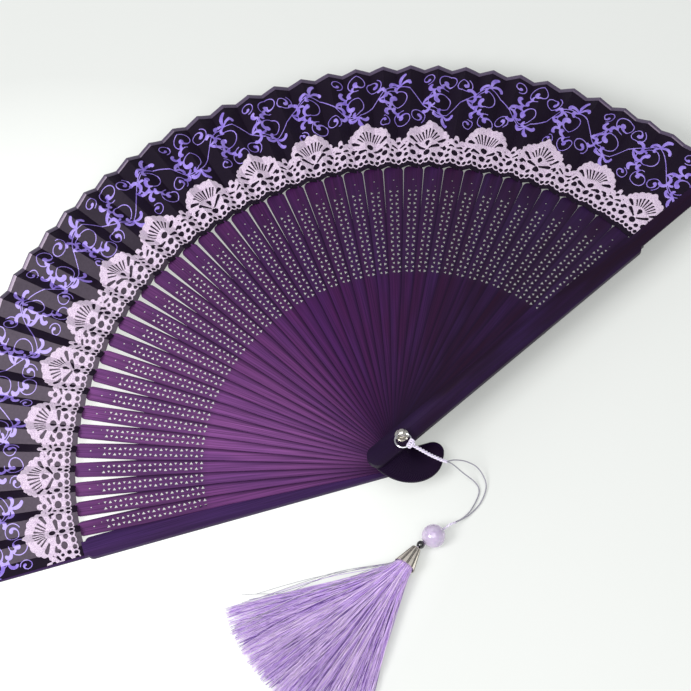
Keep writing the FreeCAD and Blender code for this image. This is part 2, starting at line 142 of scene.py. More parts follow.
def on_panel(j, angle, radius, lift):
    """Points at a lift above the leaf's underside, on panel j between crease j and crease j + 1.

    The cloth bows slightly between its creases, one way and the other along its length.
    """
    here, there = CREASES[j], CREASES[j + 1]
    share = ((here[0] - angle) / (here[0] - there[0]))[..., None]
    depth = (radius - LEAF_INNER) / (LEAF_OUTER - LEAF_INNER)
    bow = CLOTH_BOW * np.sin(math.pi * share[..., 0]) * depth * np.sin(depth * BOW_WAVES + BOW_SHIFT * j)

    def on_crease(crease):
        turn = math.radians(crease[0])
        level = crease[1] + (crease[2] - crease[1]) * depth
        return np.stack([radius * math.cos(turn), radius * math.sin(turn), level], -1)

    spots = on_crease(here) * (1 - share) + on_crease(there) * share
    spots[..., 2] += lift + bow
    return spots


# ---------------------------------------------------------------- meshes


def join_parts(parts):
    """One list of corners, faces and material numbers from several (corners, faces, material) parts."""
    corners, faces, numbers = [], [], []
    count = 0
    for spots, loops, number in parts:
        spots = np.asarray(spots, float).reshape(-1, 3)
        corners.append(spots)
        faces += [tuple(int(i) + count for i in loop) for loop in loops]
        numbers += [number] * len(loops)
        count += len(spots)
    return np.concatenate(corners), faces, numbers


def make_piece(name, parts, materials, smooth=False):
    """A mesh object from parts in millimetres, with one material for each number that they use."""
    corners, faces, numbers = join_parts(parts)
    mesh = bpy.data.meshes.new(name)
    mesh.from_pydata((corners * MM).tolist(), [], faces)
    mesh.polygons.foreach_set("material_index", numbers)
    mesh.polygons.foreach_set("use_smooth", [smooth] * len(faces))
    for material in materials:
        mesh.materials.append(material)
    mesh.update()
    piece = bpy.data.objects.new(name, mesh)
    bpy.context.scene.collection.objects.link(piece)
    return piece


def slab(low, high):
    """A closed slab between two grids of points of one shape, high lying above low."""
    rows, columns = low.shape[:2]
    count = rows * columns
    faces = []
    for i in range(rows - 1):
        for n in range(columns - 1):
            ring = (i * columns + n, (i + 1) * columns + n, (i + 1) * columns + n + 1, i * columns + n + 1)
            faces.append(tuple(spot + count for spot in ring))
            faces.append(ring[::-1])
    rim = [i * columns for i in range(rows)]
    rim += [(rows - 1) * columns + n for n in range(1, columns)]
    rim += [i * columns + columns - 1 for i in range(rows - 2, -1, -1)]
    rim += [n for n in range(columns - 2, 0, -1)]
    for here, there in zip(rim, rim[1:] + rim[:1]):
        faces.append((here, there, there + count, here + count))
    return np.concatenate([low.reshape(-1, 3), high.reshape(-1, 3)]), faces


def figure_faces(field):
    """Marching squares: corner spots (row, column, depth inside) and faces where the field is positive."""
    inside = field > 0
    touched = inside[:-1, :-1] | inside[1:, :-1] | inside[1:, 1:] | inside[:-1, 1:]
    numbers, spots, faces = {}, [], []

    def number_of(key, row, column, depth):
        if key not in numbers:
            numbers[key] = len(spots)
            spots.append((row, column, depth))
        return numbers[key]

    for i, n in np.argwhere(touched):
        ring = ((i, n), (i + 1, n), (i + 1, n + 1), (i, n + 1))
        loop = []
        for here, there in zip(ring, ring[1:] + ring[:1]):
            a, b = field[here], field[there]
            if a > 0:
                loop.append(number_of(here, *here, a))
            if (a > 0) != (b > 0):
                share = a / (a - b)
                row = here[0] + (there[0] - here[0]) * share
                column = here[1] + (there[1] - here[1]) * share
                loop.append(number_of((min(here, there), max(here, there)), row, column, 0.0))
        if len(loop) > 2:
            faces.append(loop)
    return np.array(spots, float).reshape(-1, 3), faces


def raised_figure(j, field, inner, outer, cell, base, height, rounding):
    """A closed raised figure on panel j. field gives the depth inside the figure at angles and radii."""
    left, right = CREASES[j][0], CREASES[j + 1][0]
    across = max(3, round(math.radians(left - right) * (inner + outer) / 2 / cell))
    along = round((outer - inner) / cell)
    angles = np.linspace(left, right, across + 1)
    radii = np.linspace(inner, outer, along + 1)
    depth = field(*np.meshgrid(angles, radii, indexing="ij"))
    spots, faces = figure_faces(depth)
    if not faces:
        return None
    angle = left + (right - left) * spots[:, 0] / across
    radius = inner + (outer - inner) * spots[:, 1] / along
    crown = np.clip(spots[:, 2] / rounding, 0, 1)
    crown = 0.3 + 0.7 * np.sqrt(crown * (2 - crown))
    top = on_panel(j, angle, radius, base + height * crown)
    bottom = on_panel(j, angle, radius, base)
    return np.concatenate([top, bottom]), close_figure(faces, len(spots))


def close_figure(faces, count):
    """Adds the underside and the side walls to a flat figure's faces."""
    directed = {(a, b) for loop in faces for a, b in zip(loop, loop[1:] + loop[:1])}
    walls = [(b, a, a + count, b + count) for a, b in directed if (b, a) not in directed]
    underside = [[spot + count for spot in reversed(loop)] for loop in faces]
    return faces + underside + sorted(walls)


def tube(path, radii, sides, caps=True):
    """A round tube along a path, one radius for each point."""
    path = np.asarray(path, float)
    ways = np.gradient(path, axis=0)
    ways /= np.linalg.norm(ways, axis=1)[:, None]
    side = np.cross(ways[0], (0.0, 0.0, 1.0))
    if np.linalg.norm(side) < 0.1:
        side = np.cross(ways[0], (1.0, 0.0, 0.0))
    corners = []
    for spot, way, radius in zip(path, ways, radii):
        side = side - way * (side @ way)
        side /= np.linalg.norm(side)
        other = np.cross(way, side)
        for i in range(sides):
            turn = 2 * math.pi * i / sides
            corners.append(spot + radius * (math.cos(turn) * side + math.sin(turn) * other))
    faces = []
    for ring in range(len(path) - 1):
        for i in range(sides):
            here, there = ring * sides + i, ring * sides + (i + 1) % sides
            faces.append((here, there, there + sides, here + sides))
    if caps:
        faces.append(tuple(reversed(range(sides))))
        faces.append(tuple(range((len(path) - 1) * sides, len(path) * sides)))
    return np.array(corners), faces


def spline(points, count):
    """A smooth Catmull-Rom path through points, evenly sampled."""
    points = np.asarray(points, float)
    padded = np.vstack([2 * points[0] - points[1], points, 2 * points[-1] - points[-2]])
    fine = []
    for i in range(len(points) - 1):
        a, b, c, d = padded[i : i + 4]
        for t in np.linspace(0, 1, 24, endpoint=False):
            square = (2 * a - 5 * b + 4 * c - d) * t**2
            cube = (3 * b - 3 * c + d - a) * t**3
            fine.append(0.5 * (2 * b + (c - a) * t + square + cube))
    fine = np.vstack([fine, points[-1]])
    run = np.concatenate([[0], np.cumsum(np.linalg.norm(np.diff(fine, axis=0), axis=1))])
    wanted = np.linspace(0, run[-1], count)
    return np.stack([np.interp(wanted, run, fine[:, axis]) for axis in range(3)], -1)


# ---------------------------------------------------------------- material helpers


class Nodes:
    """A material with its node tree and short calls to build it."""

    def __init__(self, name, **settings):
        self.material = bpy.data.materials.new(name)
        self.material.use_nodes = True
        self.tree = self.material.node_tree
        self.surface = self.tree.nodes["Principled BSDF"]
        self.output = self.tree.nodes["Material Output"]
        for key, value in settings.items():
            self.surface.inputs[key.replace("_", " ")].default_value = value

    def add(self, kind, inputs=(), **settings):
        """A node, with its settings, and its inputs set to values or joined to other nodes' outputs."""
        made = self.tree.nodes.new(kind)
        for key, value in settings.items():
            setattr(made, key, value)
        for key, value in dict(inputs).items():
            self.feed(made.inputs[key], value)
        return made

    def feed(self, socket, value):
        """Sets a socket to a value, or joins it to an output."""
        if isinstance(value, bpy.types.NodeSocket):
            self.tree.links.new(value, socket)
        else:
            socket.default_value = value

    def math(self, operation, first, second=0.0):
        """The result of a math node."""
        return self.add("ShaderNodeMath", {0: first, 1: second}, operation=operation).outputs[0]

    def noise(self, where, scale, detail=3.0, roughness=0.5):
        """Noise from 0 to 1 at a place."""
        inputs = {"Vector": where, "Scale": scale, "Detail": detail, "Roughness": roughness}
        return self.add("ShaderNodeTexNoise", inputs).outputs["Fac"]

    def spread(self, value, low, high, to_low=0.0, to_high=1.0):
        """A value's range low to high spread over another range, and held at its ends."""
        inputs = {"Value": value, "From Min": low, "From Max": high, "To Min": to_low, "To Max": to_high}
        return self.add("ShaderNodeMapRange", inputs).outputs["Result"]

    def mix(self, share, first, second):
        """A blend of two colours."""
        made = self.add("ShaderNodeMix", {"Factor": share}, data_type="RGBA")
        self.feed(made.inputs[6], first)
        self.feed(made.inputs[7], second)
        return made.outputs[2]

    def place(self):
        """The object's own coordinates, which are the row frame's, in metres."""
        return self.add("ShaderNodeTexCoord").outputs["Object"]

    def stretched(self, where, scale):
        """Coordinates stretched by a scale on each axis."""
        return self.add("ShaderNodeMapping", {"Vector": where, "Scale": scale}).outputs["Vector"]

    def bump(self, height, distance, strength=1.0):
        """Feeds a height in as bump, with its distance in millimetres."""
        inputs = {"Height": height, "Distance": distance * MM, "Strength": strength}
        made = self.add("ShaderNodeBump", inputs)
        self.feed(self.surface.inputs["Normal"], made.outputs["Normal"])

    def set(self, key, value):
        """Sets or joins an input of the main surface."""
        self.feed(self.surface.inputs[key], value)


def colour(red, green, blue):
    """A colour from its 0 to 255 screen values."""

    def linear(value):
        share = value / 255
        return share / 12.92 if share <= 0.04045 else ((share + 0.055) / 1.055) ** 2.4

    return (linear(red), linear(green), linear(blue), 1.0)


# ---------------------------------------------------------------- materials

# The way towards the window light whose sheen is painted into the leaf's colours.
WINDOW_WAY = (-0.303, -0.606, 0.735)
# The dark tone of the dye, which is also the colour of the painted shade on the tails and the painted shadow
# where the ribs lap.
DYE_SHADOW = (0.0085, 0.0022, 0.0165, 1.0)
# Stretches along a stick over which its colour changes, in metres from the rivet: painted shade over the
# pierced zone, for the shadows round its holes, and painted shade over the tail.
PIERCED_BEGINS = (0.082, 0.086)
PIERCED_ENDS = (0.126, 0.134)
SHADED_TAIL = (-0.004, 0.014)


def lap_shadow(made, across, along):
    """How deep a spot of a rib lies in the shade of the next rib's edge, which laps over it."""
    inner_half = made.spread(along, -0.0132, 0.078, 0.0038, 0.0031)
    outer_half = made.spread(along, 0.078, 0.112, 0.0, 0.0006)
    half = made.math("ADD", inner_half, outer_half)
    edge = made.math("SUBTRACT", made.math("MULTIPLY", along, math.tan(math.radians(PITCH))), half)
    return made.spread(made.math("SUBTRACT", edge, across), 0.0, 0.0016, 0.85, 0.0)


def dyed_bamboo(name, left, middle, right, lapped):
    """Satin bamboo dyed violet: fine fibres along the stick, cloudy dye, darker edges and painted shade over
    the tail.

    Each stick's object carries its heading ("turn") and its share of the way round the fan ("shade").
    By that share the colour is painted light: from left, painted as lit, through middle, to right, painted as
    in shade.
    lapped sticks get painted shade where they are pierced, for the shadows round the holes, and a painted
    shadow where the next one laps over them.
    """
    made = Nodes(name, Specular_IOR_Level=0.15)
    turn = made.add("ShaderNodeAttribute", attribute_type="OBJECT", attribute_name="turn").outputs["Fac"]
    shade = made.add("ShaderNodeAttribute", attribute_type="OBJECT", attribute_name="shade").outputs["Fac"]
    inputs = {"Vector": made.place(), "Angle": made.math("MULTIPLY", turn, -1.0)}
    along = made.add("ShaderNodeVectorRotate", inputs, rotation_type="Z_AXIS").outputs["Vector"]
    offset = made.add("ShaderNodeVectorMath", {0: along}, operation="ADD")
    made.feed(offset.inputs[1], made.add("ShaderNodeCombineXYZ", {"X": shade, "Y": shade}).outputs[0])
    fibres = made.noise(made.stretched(offset.outputs[0], (2600, 26, 900)), 1.0, 4.0, 0.6)
    clouds = made.noise(made.stretched(offset.outputs[0], (120, 22, 60)), 1.0, 2.0)
    # Painted light: the colour runs from the lit left tone to the shaded right tone by the stick's place
    # round the fan.
    lowest = made.mix(0.55, left, middle)
    rising = made.mix(made.spread(shade, 0.02, 0.16), lowest, left)
    falling = made.mix(made.spread(shade, 0.16, 0.5), rising, middle)
    base = made.mix(made.spread(shade, 0.5, 0.85), falling, right)
    violet = made.mix(0.35, base, colour(64, 40, 104))
    tinted = made.mix(made.spread(clouds, 0.4, 0.68, 0.0, 0.8), base, violet)
    dark = made.mix(0.6, tinted, DYE_SHADOW)
    grained = made.mix(made.spread(fibres, 0.35, 0.62), dark, tinted)
    spots = made.add("ShaderNodeSeparateXYZ", {0: along})
    edge = made.spread(made.math("ABSOLUTE", spots.outputs["X"]), 0.0026, 0.0034, 0.0, 0.5)
    # Painted shade over the tail, round and behind the rivet.
    tail = made.spread(spots.outputs["Y"], *SHADED_TAIL, 0.8, 0.0)
    dyed = made.mix(edge, grained, dark)
    if lapped:
        # Painted shade over the pierced zone, for the shadows round its holes.
        begins = made.spread(spots.outputs["Y"], *PIERCED_BEGINS)
        ends = made.spread(spots.outputs["Y"], *PIERCED_ENDS, 0.36, 0.14)
        dyed = made.mix(made.math("MULTIPLY", begins, ends), dyed, colour(46, 30, 58))
        dyed = made.mix(lap_shadow(made, spots.outputs["X"], spots.outputs["Y"]), dyed, DYE_SHADOW)
    made.set("Base Color", made.mix(tail, dyed, DYE_SHADOW))
    made.set("Roughness", made.spread(fibres, 0.3, 0.7, 0.55, 0.4))
    made.bump(fibres, 0.05, 0.5)
    return made.material


def facing_window(made):
    """How squarely a pleat faces the window light at the lower left, from 0 to 1, as the share of painted
    sheen.
    """
    normal = made.add("ShaderNodeNewGeometry").outputs["Normal"]
    inputs = {0: normal, 1: WINDOW_WAY}
    facing = made.add("ShaderNodeVectorMath", inputs, operation="DOT_PRODUCT").outputs["Value"]
    return made.spread(facing, 0.845, 0.968)


def silk_cloth(name, deep, lit, openness):
    """Thin plain-woven silk, nearly black where it turns away from the window and painted grey, as its sheen,
    where it faces it.
    """
    made = Nodes(name, Roughness=0.6, Specular_IOR_Level=0.15)
    where = made.place()
    threads = made.stretched(where, (2200, 2200, 2200))
    weave = made.add("ShaderNodeTexChecker", {"Vector": threads, "Scale": 1.0}).outputs["Fac"]
    slub = made.noise(made.stretched(where, (900, 900, 900)), 1.0, 3.0)
    clouds = made.noise(made.stretched(where, (60, 60, 60)), 1.0, 2.0)
    paler = tuple(min(1.0, part * 1.7 + 0.003) for part in deep[:3]) + (1.0,)
    base = made.mix(made.math("MULTIPLY", slub, clouds), deep, paler)
    # Painted sheen: paler grey where the pleat faces the window light.
    share = made.math("MULTIPLY", facing_window(made), made.spread(slub, 0.2, 0.7, 0.75, 1.0))
    made.set("Base Color", made.mix(share, base, lit))
    made.set("Sheen Weight", 0.05)
    made.set("Sheen Roughness", 0.4)
    made.set("Sheen Tint", (0.5, 0.35, 0.62, 1.0))
    made.bump(weave, 0.03, 0.35)
    clear = made.add("ShaderNodeBsdfTransparent", {"Color": (0.86, 0.78, 0.9, 1.0)})
    gaps = made.spread(slub, 0.3, 0.7, openness * 0.7, openness * 1.3)
    inputs = {0: gaps, 1: made.surface.outputs[0], 2: clear.outputs[0]}
    mixed = made.add("ShaderNodeMixShader", inputs)
    made.feed(made.output.inputs["Surface"], mixed.outputs[0])
    return made.material


def lace_thread():
    """Matt pinkish-white cotton lace with close stitches."""
    made = Nodes("lace_thread", Roughness=0.88)
    where = made.place()
    stitches = made.add("ShaderNodeTexVoronoi", {"Vector": where, "Scale": 2400.0}).outputs["Distance"]
    soft = made.noise(where, 500.0, 2.0)
    pale, shaded = colour(228, 213, 227), colour(184, 163, 189)
    made.set("Base Color", made.mix(made.spread(stitches, 0.1, 0.75), pale, shaded))
    made.set("Sheen Weight", 0.25)
    made.bump(made.math("ADD", stitches, soft), 0.09, 0.6)
    return made.material


def printed_ink():
    """Lavender ink printed on the silk, with the weave showing through it and a painted paler sheen where it
    faces the window light.
    """
    made = Nodes("printed_ink", Roughness=0.6)
    where = made.place()
    patches = made.noise(where, 260.0, 3.0)
    specks = made.noise(where, 2400.0, 1.0)
    deep = made.mix(made.spread(patches, 0.35, 0.7), colour(126, 102, 196), colour(166, 144, 228))
    # Painted sheen: paler where the print faces the window light.
    tone = made.mix(made.math("MULTIPLY", facing_window(made), 0.7), deep, colour(190, 172, 232))
    made.set("Base Color", made.mix(made.spread(specks, 0.55, 0.8, 0.0, 0.35), tone, colour(70, 50, 110)))
    made.bump(specks, 0.02, 0.4)
    return made.material


def edge_tape():
    """Satin tape bound round the rim, dark, with a painted pale sheen where it faces the window."""
    made = Nodes("edge_tape", Roughness=0.5)
    ribbing = made.noise(made.place(), 1800.0, 2.0)
    dark = made.mix(ribbing, colour(52, 40, 62), colour(92, 78, 106))
    # The pale tones are a painted sheen, for the window light on the tape.
    pale = made.mix(ribbing, colour(142, 124, 146), colour(186, 168, 188))
    made.set("Base Color", made.mix(facing_window(made), dark, pale))
    made.set("Sheen Weight", 0.15)
    made.bump(ribbing, 0.05, 0.5)
    return made.material


def bright_metal(name, tint, roughness):
    """Polished metal with fine scratches."""
    made = Nodes(name, Metallic=1.0)
    where = made.place()
    scratches = made.noise(made.stretched(where, (400, 3200, 900)), 1.0, 4.0)
    stains = made.noise(where, 420.0, 2.0)
    dull = tuple(part * 0.55 for part in tint[:3]) + (1.0,)
    made.set("Base Color", made.mix(made.spread(stains, 0.45, 0.75, 0.0, 0.5), tint, dull))
    made.set("Roughness", made.spread(scratches, 0.3, 0.7, roughness * 0.7, roughness * 1.5))
    made.bump(scratches, 0.01, 0.3)
    return made.material


def flute_shaded_metal():
    """The cap's bright silver-coloured metal, with painted shade in its flutes and faint stains."""
    made = Nodes("flute_shaded_metal", Metallic=0.8, Roughness=0.32)
    # Painted shade: the occlusion node finds the sheltered flutes and darkens them.
    shelter = made.add("ShaderNodeAmbientOcclusion", {"Distance": 0.0009}, samples=8).outputs["AO"]
    stains = made.noise(made.place(), 600.0, 3.0)
    bright, dark = colour(255, 246, 232), colour(26, 22, 20)
    clear_of_shade_and_stains = made.math("MULTIPLY", made.spread(shelter, 0.78, 0.98), made.spread(stains, 0.2, 0.55, 0.8, 1.0))
    made.set("Base Color", made.mix(clear_of_shade_and_stains, dark, bright))
    made.bump(stains, 0.03, 0.3)
    return made.material


def milky_glass():
    """Milky lilac glass with faint clouds."""
    made = Nodes("milky_glass", Roughness=0.06)
    clouds = made.noise(made.place(), 240.0, 3.0)
    deep, pale = colour(204, 188, 218), colour(222, 208, 232)
    made.set("Base Color", made.mix(made.spread(clouds, 0.3, 0.7), deep, pale))
    made.set("Subsurface Weight", 0.6)
    made.set("Subsurface Radius", (1.0, 0.8, 1.0))
    made.set("Subsurface Scale", 0.003)
    made.set("Transmission Weight", 0.3)
    made.set("Coat Weight", 1.0)
    made.set("Coat Roughness", 0.03)
    made.set("Coat IOR", 1.6)
    return made.material


def black_gloss():
    """Glossy black glass."""
    made = Nodes("black_gloss", Roughness=0.08)
    swirl = made.noise(made.place(), 700.0, 2.0)
    made.set("Base Color", made.mix(swirl, colour(10, 10, 12), colour(30, 28, 32)))
    made.set("Coat Weight", 1.0)
    return made.material


def twisted_silk(name, deep, pale):
    """The cord's shiny lilac silk, with its plies' fine threads."""
    made = Nodes(name, Roughness=0.5)
    threads = made.noise(made.stretched(made.place(), (2600, 2600, 2600)), 1.0, 3.0)
    made.set("Base Color", made.mix(made.spread(threads, 0.3, 0.7), deep, pale))
    made.set("Sheen Weight", 0.5)
    made.bump(threads, 0.06, 0.6)
    return made.material


def skirt_silk():
    """Loose silk threads, each a little different in tone, some painted pale as highlights and some painted
    dark as in shadow.
    """
    made = Nodes("skirt_silk", Roughness=0.34)
    own = made.add("ShaderNodeNewGeometry").outputs["Random Per Island"]
    along = made.noise(made.place(), 160.0, 2.0)
    share = made.math("ADD", made.math("MULTIPLY", own, 0.8), made.math("MULTIPLY", along, 0.3))
    body = made.mix(share, colour(158, 104, 212), colour(252, 232, 255))
    # The darkest threads are painted shadow.
    made.set("Base Color", made.mix(made.spread(own, 0.82, 0.85), body, colour(106, 64, 158)))
    made.set("Sheen Weight", 0.15)
    made.set("Sheen Tint", (0.95, 0.88, 1.0, 1.0))
    made.bump(along, 0.02, 0.3)
    return made.material


# The middle of the floor's pool of light, in metres.
POOL_MIDDLE = (-0.13, 0.09, 0.0)
FLOOR_GLOW = 0.27


def pale_floor():
    """A plain pale studio floor, lit a little from within, with a soft pool of light at the left."""
    made = Nodes("pale_floor", Roughness=0.8, Specular_IOR_Level=0.2)
    where = made.place()
    faint = made.noise(where, 4.0, 2.0)
    made.set("Base Color", made.mix(faint, (0.49, 0.50, 0.485, 1.0), (0.52, 0.53, 0.515, 1.0)))
    inputs = {0: where, 1: POOL_MIDDLE}
    distance = made.add("ShaderNodeVectorMath", inputs, operation="DISTANCE").outputs["Value"]
    glow = made.spread(distance, 0.02, 0.19, 0.5, 0.0)
    made.set("Emission Color", (0.97, 1.0, 0.95, 1.0))
    made.set("Emission Strength", made.math("ADD", glow, FLOOR_GLOW))
    return made.material


# ---------------------------------------------------------------- sticks


def dress_node(node, material, sharp_above=35.0):
    """Gives a CAD node its material and smooth shading between its sharp edges."""
    shown = frame["nodes"][node]
    shown.data.materials.clear()
    shown.data.materials.append(material)
    shown.data.polygons.foreach_set("use_smooth", [True] * len(shown.data.polygons))
    shown.data.set_sharp_from_angle(angle=math.radians(sharp_above))
    return shown


def soften_edges(shown, width):
    """Rounds a CAD node's edges a little, with modifiers only."""
    weld = shown.modifiers.new("weld", "WELD")
    weld.merge_threshold = 0.001 * MM
    bevel = shown.modifiers.new("soft_edges", "BEVEL")
    bevel.width = width * MM
    bevel.segments = 3
    bevel.limit_method = "ANGLE"
    bevel.angle_limit = math.radians(40)


def dress_sticks():
    """The ribs and the guards in dyed bamboo."""
    # Each triple is painted light round the fan: the lit tone at the left, a middle tone, the shaded tone at
    # the right.
    rib_lit_to_shaded = colour(138, 80, 144), colour(74, 26, 80), colour(34, 9, 34)
    guard_lit_to_shaded = colour(66, 40, 86), colour(54, 28, 76), colour(28, 8, 28)
    rib = dyed_bamboo("dyed_bamboo_rib", *rib_lit_to_shaded, lapped=True)
    guard = dyed_bamboo("dyed_bamboo_guard", *guard_lit_to_shaded, lapped=False)
    for k, stick in enumerate(STICKS):
        is_guard = k in (0, len(STICKS) - 1)
        shown = dress_node(stick, guard if is_guard else rib)
        shown["turn"] = math.radians(stick_angle(k) - 90)
        shown["shade"] = k / (len(STICKS) - 1)
        if is_guard:
            soften_edges(shown, 0.45)


# ---------------------------------------------------------------- silk leaf

SILK_INNER = LEAF_INNER - 1.2
SILK_LOW, SILK_HIGH = 0.03, 0.2
SILK_ROWS = 30
PANEL_COLUMNS = 9


def silk_panel(j):
    """One panel of silk."""
    angles = np.linspace(CREASES[j][0], CREASES[j + 1][0], PANEL_COLUMNS)
    radii = np.linspace(SILK_INNER, LEAF_OUTER, SILK_ROWS)
    angle, radius = np.meshgrid(angles, radii, indexing="ij")
    return slab(on_panel(j, angle, radius, SILK_LOW), on_panel(j, angle, radius, SILK_HIGH))


TAPE_WIDTH = 1.7
TAPE_LOW, TAPE_HIGH = -0.1, 0.42
TAPE_OVERHANG = 0.15


def tape_panel(j):
    """The tape along one panel's rim, folded over the silk's cut edge."""
    angles = np.linspace(CREASES[j][0], CREASES[j + 1][0], PANEL_COLUMNS)
    radii = np.linspace(LEAF_OUTER - TAPE_WIDTH, LEAF_OUTER + TAPE_OVERHANG, 4)
    angle, radius = np.meshgrid(angles, radii, indexing="ij")
    across = (radius - radii[0]) / (radii[-1] - radii[0])
    puff = 0.1 * np.sin(math.pi * across)
    return slab(on_panel(j, angle, radius, TAPE_LOW - puff), on_panel(j, angle, radius, TAPE_HIGH + puff))


# ---------------------------------------------------------------- lace pattern


def disc(x, y, centre_x, centre_y, radius):
    """Depth inside a disc."""
    return radius - np.hypot(x - centre_x, y - centre_y)


def drop(x, y, start, stop):
    """Depth inside a rounded taper between two (x, y, radius) ends."""
    run = (stop[0] - start[0], stop[1] - start[1])
    share = ((x - start[0]) * run[0] + (y - start[1]) * run[1]) / (run[0] ** 2 + run[1] ** 2)
    share = np.clip(share, 0, 1)
    reach = np.hypot(x - start[0] - run[0] * share, y - start[1] - run[1] * share)
    return start[2] + (stop[2] - start[2]) * share - reach


def union(*fields):
    """Depth inside any of the fields."""
    return np.maximum.reduce(fields)


def ray(centre_y, turn, start, stop):
    """The ends of a taper on a ray from (0, centre_y), turned from straight out.

    start and stop are (reach, radius).
    """
    way = (math.sin(math.radians(turn)), math.cos(math.radians(turn)))
    return tuple((way[0] * reach, centre_y + way[1] * reach, radius) for reach, radius in (start, stop))


LACE_REPEATS = 16
LACE_REFERENCE = 150.0
LACE_PERIOD = math.radians(FAN_SPAN) * LACE_REFERENCE / LACE_REPEATS
CROWN_FOOT = 8.0
CROWN_REACH = 12.7
CROWN_SLITS = (5, 15, 25, 35)


def crown(x, y):
    """The large crown with a serrated rim and a point, and the slits that are cut in it."""
    side = abs(x)
    reach = np.hypot(side, y - CROWN_FOOT)
    turn = np.degrees(np.arctan2(side, y - CROWN_FOOT))
    rim = CROWN_REACH - turn**2 / 1600 + 1.2 * np.exp(-((turn / 6) ** 2))
    rim += 0.6 * abs(np.cos(np.radians(turn * 180 / 13)))
    slits = [ray(CROWN_FOOT, turn, (4.9, 0.2), (9.9 - turn / 25, 0.36)) for turn in CROWN_SLITS]
    slits.append(ray(CROWN_FOOT, 53, (6.0, 0.45), (8.8, 0.85)))
    slits.append(ray(CROWN_FOOT, 80, (6.4, 0.4), (7.6, 0.7)))
    return rim - reach, [drop(side, y, *slit) for slit in slits]


def flower_centre(x, y):
    """Two eyelets and two leaves round the middle of a crown."""
    side = abs(x)
    return [
        disc(side, y, 0, 9.6, 1.4),
        disc(side, y, 0, 5.3, 1.4),
        drop(side, y, (1.9, 7.4, 0.45), (4.6, 7.7, 0.95)),
    ]


def fork_centre(x, y):
    """A fork of two long slits over an eyelet."""
    side = abs(x)
    return [
        drop(side, y, (1.0, 7.3, 0.4), (4.7, 9.9, 0.8)),
        drop(side, y, (0, 9.3, 0.45), (0, 10.8, 1.05)),
        disc(side, y, 0, 5.4, 1.45),
    ]


def bud(x, y):
    """The small motif between two crowns, with its holes."""
    side = abs(abs(x) - LACE_PERIOD / 2)
    solid = disc(side, y, 0, 8.8, 3.2)
    for turn, reach in ((0, 6.4), (34, 5.7), (66, 5.0)):
        solid = union(solid, drop(side, y, *ray(8.2, turn, (2, 1.5), (reach - 0.9, 0.95))))
    holes = [
        disc(side, y, 0, 11.4, 0.9),
        disc(side, y, 0, 5.6, 1.45),
        drop(side, y, (0.8, 8.6, 0.35), (2.5, 9.5, 0.6)),
    ]
    return solid, holes


NET_EYELETS = ((3.3, 4.3, 1.05), (6.3, 5.6, 1.35), (9.4, 4.3, 1.0), (7.9, 8.3, 0.8), (9.9, 7.2, 0.75))


def net(x, y):
    """The open net along the lace's inner edge, ending in a row of small loops."""
    loop = LACE_PERIOD / 10
    cell = (x + loop / 2) % loop - loop / 2
    solid = union(np.minimum(y - 2.3, 8.8 - y), disc(cell, y, 0, 1.5, 1.5))
    holes = [disc(cell, y, 0, 1.5, 0.95)]
    holes += [disc(abs(x), y, *eyelet) for eyelet in NET_EYELETS]
    return solid, holes


def lace_field(angle, radius):
    """Depth inside the lace, in millimetres."""
    run = math.radians(1) * (FAN_MIDDLE + FAN_SPAN / 2 - angle) * LACE_REFERENCE
    repeat = np.floor(run / LACE_PERIOD)
    x = run - (repeat + 0.5) * LACE_PERIOD
    y = radius - LACE_INNER
    crown_solid, holes = crown(x, y)
    flower, fork = union(*flower_centre(x, y)), union(*fork_centre(x, y))
    holes.append(np.where(repeat % 2 == 0, flower, fork))
    bud_solid, bud_holes = bud(x, y)
    net_solid, net_holes = net(x, y)
    solid = union(crown_solid, bud_solid, net_solid)
    return np.minimum(solid, -union(*holes, *bud_holes, *net_holes))


# ---------------------------------------------------------------- printed scrolls

PRINT_INNER, PRINT_OUTER = 157.0, 189.8
PRINT_REFERENCE = 174.0
VINE_MIDDLE, VINE_SWING = 174.5, 8.0
VINE_BAYS = 24
STEM, BULB = 0.19, 1.25


def curl(x, y, radius, start, turns, hand):
    """A thin stem that winds in to a bulb: a list of (x, y, half width)."""
    stroke = []
    steps = int(turns * 28)
    for i in range(steps + 1):
        share = i / steps
        turn = math.radians(start + hand * 360 * turns * share)
        reach = radius * (1 - 0.72 * share**2)
        swell = max(0.0, (share - 0.72) / 0.28)
        width = STEM + (BULB * min(1.0, radius / 5) - STEM) * swell**1.2
        stroke.append((x + reach * math.cos(turn), y + reach * math.sin(turn), width))
    return stroke


def hook(x, y, heading, length, bend, width):
    """A leaf that leaves its stem thin, swells, and curls over more and more to a rounded end."""
    stroke = []
    steps = 12
    for i in range(steps + 1):
        share = i / steps
        stroke.append((x, y, STEM + (width - STEM) * math.sin(math.pi * share * 0.72) ** 1.1))
        turn = math.radians(heading + bend * share**1.5)
        x += math.cos(turn) * length / steps
        y += math.sin(turn) * length / steps
    return stroke


def leaves_along(stroke, shares, hand, size):
    """Leaves that hook outwards from a curl at shares of its length, each with a short one inside."""
    leaves = []
    for share in shares:
        place = int(share * (len(stroke) - 2))
        (x, y, _), (ahead_x, ahead_y, _) = stroke[place], stroke[place + 1]
        heading = math.degrees(math.atan2(ahead_y - y, ahead_x - x))
        long, short = size * random.uniform(0.9, 1.1), size * random.uniform(0.5, 0.62)
        leaves.append(hook(x, y, heading - 22 * hand, long, -170 * hand, 0.82))
        leaves.append(hook(x, y, heading + 8 * hand, short, 120 * hand, 0.55))
    return leaves


def spray(x, y, heading, hand):
    """Four leaves that fan out of one place on the stem, curling away from each other."""
    leaves = [
        hook(x, y, heading, 6.4, 80 * hand, 0.8),
        hook(x, y, heading + 44 * hand, 5.6, 150 * hand, 0.74),
        hook(x, y, heading - 36 * hand, 5.8, -140 * hand, 0.78),
        hook(x, y, heading - 85 * hand, 4.2, -150 * hand, 0.68),
    ]
    return leaves


